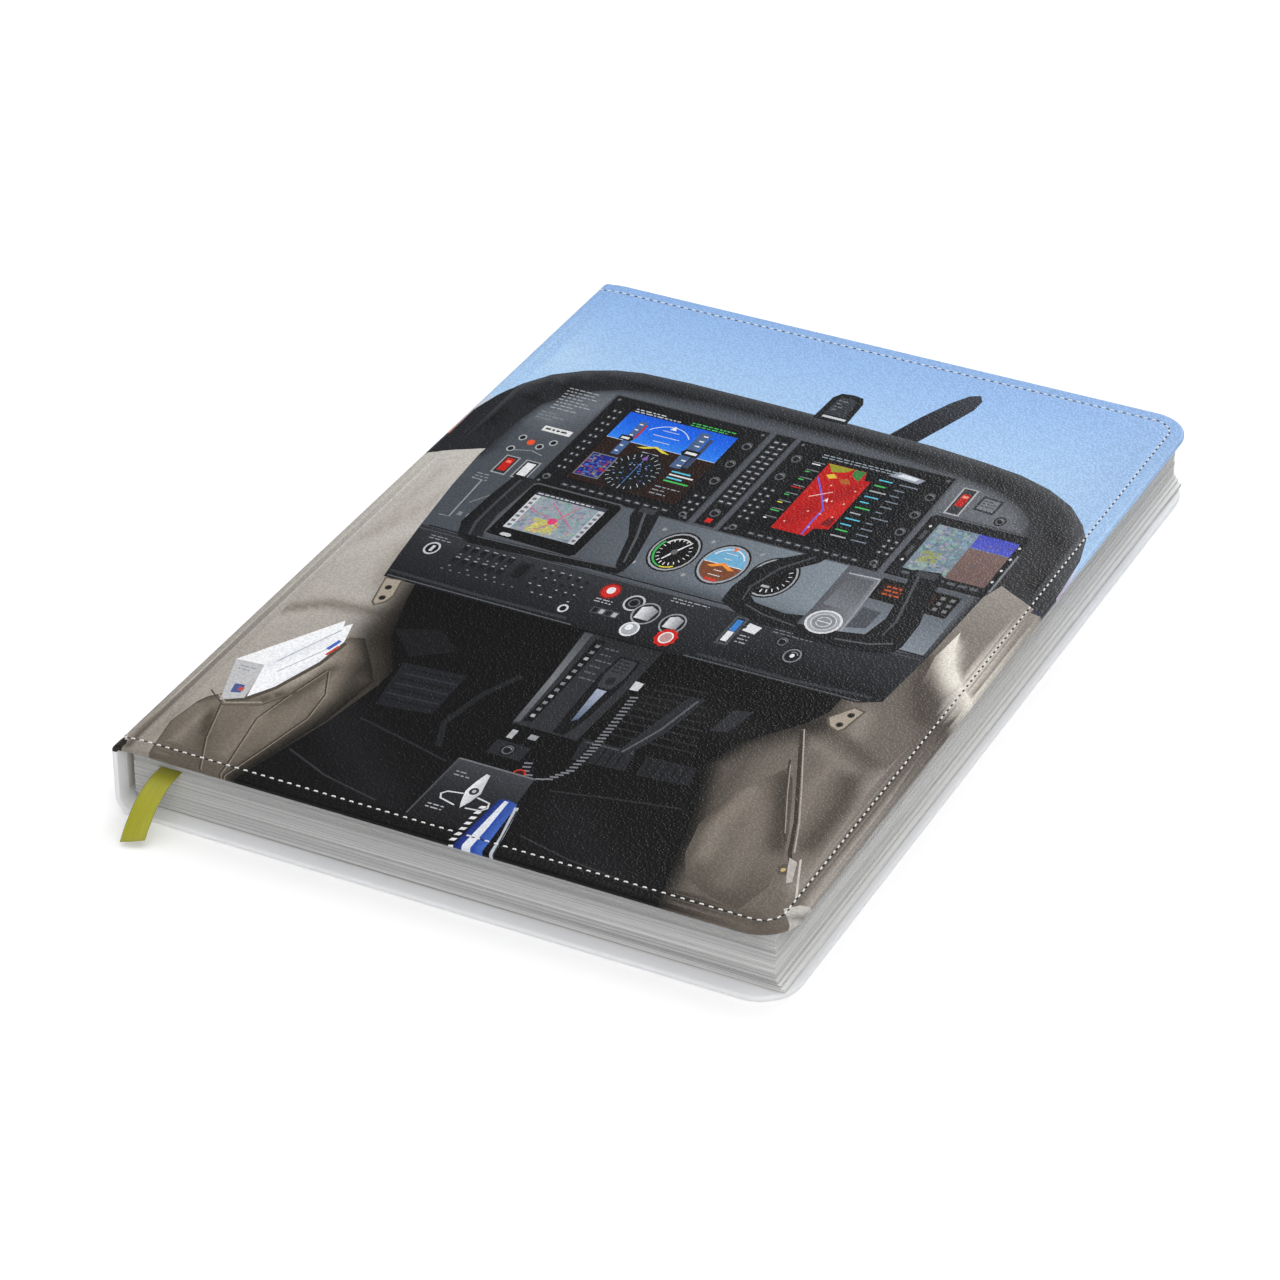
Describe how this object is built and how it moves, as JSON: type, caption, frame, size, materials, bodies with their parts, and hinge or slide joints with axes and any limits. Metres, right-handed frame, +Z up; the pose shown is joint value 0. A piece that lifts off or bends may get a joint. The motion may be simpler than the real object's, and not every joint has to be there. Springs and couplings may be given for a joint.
{
  "type": "pilot logbook",
  "caption": "Casebound pilot's journal: printed leather-look front cover with a sewn edge, white spine and back, sewn page block and ribbon marker; opens flat at the ribbon.",
  "frame": {"origin": "middle of the closed book's footprint, on the surface that it lies on; the ribbon's free end isn't counted", "axes": "+X from the spine to the fore-edge, +Y from the tail to the head, +Z up out of the front cover"},
  "size_m": [0.148, 0.2266, 0.0168],
  "materials": {
    "white_leather": "white grained leather-look, satin",
    "printed_leather": "printed pebble-grain leather-look, satin",
    "grey_board": "matte binder's board",
    "pages": "matte uncoated paper",
    "endpaper": "matte endpaper",
    "gauze": "open-weave binding gauze",
    "seam_thread": "white sewing thread",
    "ribbon_satin": "olive-lime satin ribbon"
  },
  "bodies": {
    "back_half": {"back_cover_skin": "white_leather", "back_board": "grey_board", "back_endpaper": "endpaper", "lower_gauze": "gauze", "ribbon_marker": "ribbon_satin", "signature_01": "pages", "signature_02": "pages", "signature_03": "pages", "signature_04": "pages", "signature_05": "pages", "signature_06": "pages", "signature_07": "pages", "signature_08": "pages", "signature_09": "pages", "signature_10": "pages", "signature_11": "pages", "signature_12": "pages"},
    "spine": {"spine_skin": "white_leather", "spine_stiffener": "grey_board", "spine_lining": "endpaper"},
    "front_cover": {"front_cover_skin": "printed_leather", "front_board": "grey_board", "front_gauze_flange": "gauze", "front_pastedown": "endpaper", "front_seam_thread": "seam_thread"},
    "signature_13": {"signature_13": "pages", "upper_gauze": "gauze"},
    "signature_14": {"signature_14": "pages"},
    "signature_15": {"signature_15": "pages"},
    "signature_16": {"signature_16": "pages", "front_flyleaf": "endpaper"}
  },
  "joints": [
    {"name": "spine_hinge", "type": "hinge", "parent": "back_half", "child": "spine", "pos_m": [-0.073, 0, 0.001], "axis": [0, -1, 0], "range_deg": [0, 90]},
    {"name": "front_cover_hinge", "type": "hinge", "parent": "spine", "child": "front_cover", "pos_m": [-0.0735, 0, 0.0163], "axis": [0, -1, 0], "range_deg": [0, 90]},
    {"name": "signature_13_fold", "type": "hinge", "parent": "back_half", "child": "signature_13", "pos_m": [-0.07155, 0, 0.00885], "axis": [0, -1, 0], "range_deg": [0, 178.9]},
    {"name": "signature_14_fold", "type": "hinge", "parent": "back_half", "child": "signature_14", "pos_m": [-0.07155, 0, 0.00885], "axis": [0, -1, 0], "range_deg": [0, 179.2]},
    {"name": "signature_15_fold", "type": "hinge", "parent": "back_half", "child": "signature_15", "pos_m": [-0.07155, 0, 0.00885], "axis": [0, -1, 0], "range_deg": [0, 179.5]},
    {"name": "signature_16_fold", "type": "hinge", "parent": "back_half", "child": "signature_16", "pos_m": [-0.07155, 0, 0.00885], "axis": [0, -1, 0], "range_deg": [0, 179.8]}
  ],
  "couplings": [
    {"joint": "front_cover_hinge", "follows": "spine_hinge", "ratio": 1},
    {"joint": "signature_13_fold", "follows": "spine_hinge", "ratio": 1.9877},
    {"joint": "signature_14_fold", "follows": "spine_hinge", "ratio": 1.9911},
    {"joint": "signature_15_fold", "follows": "spine_hinge", "ratio": 1.9944},
    {"joint": "signature_16_fold", "follows": "spine_hinge", "ratio": 1.9977}
  ]
}
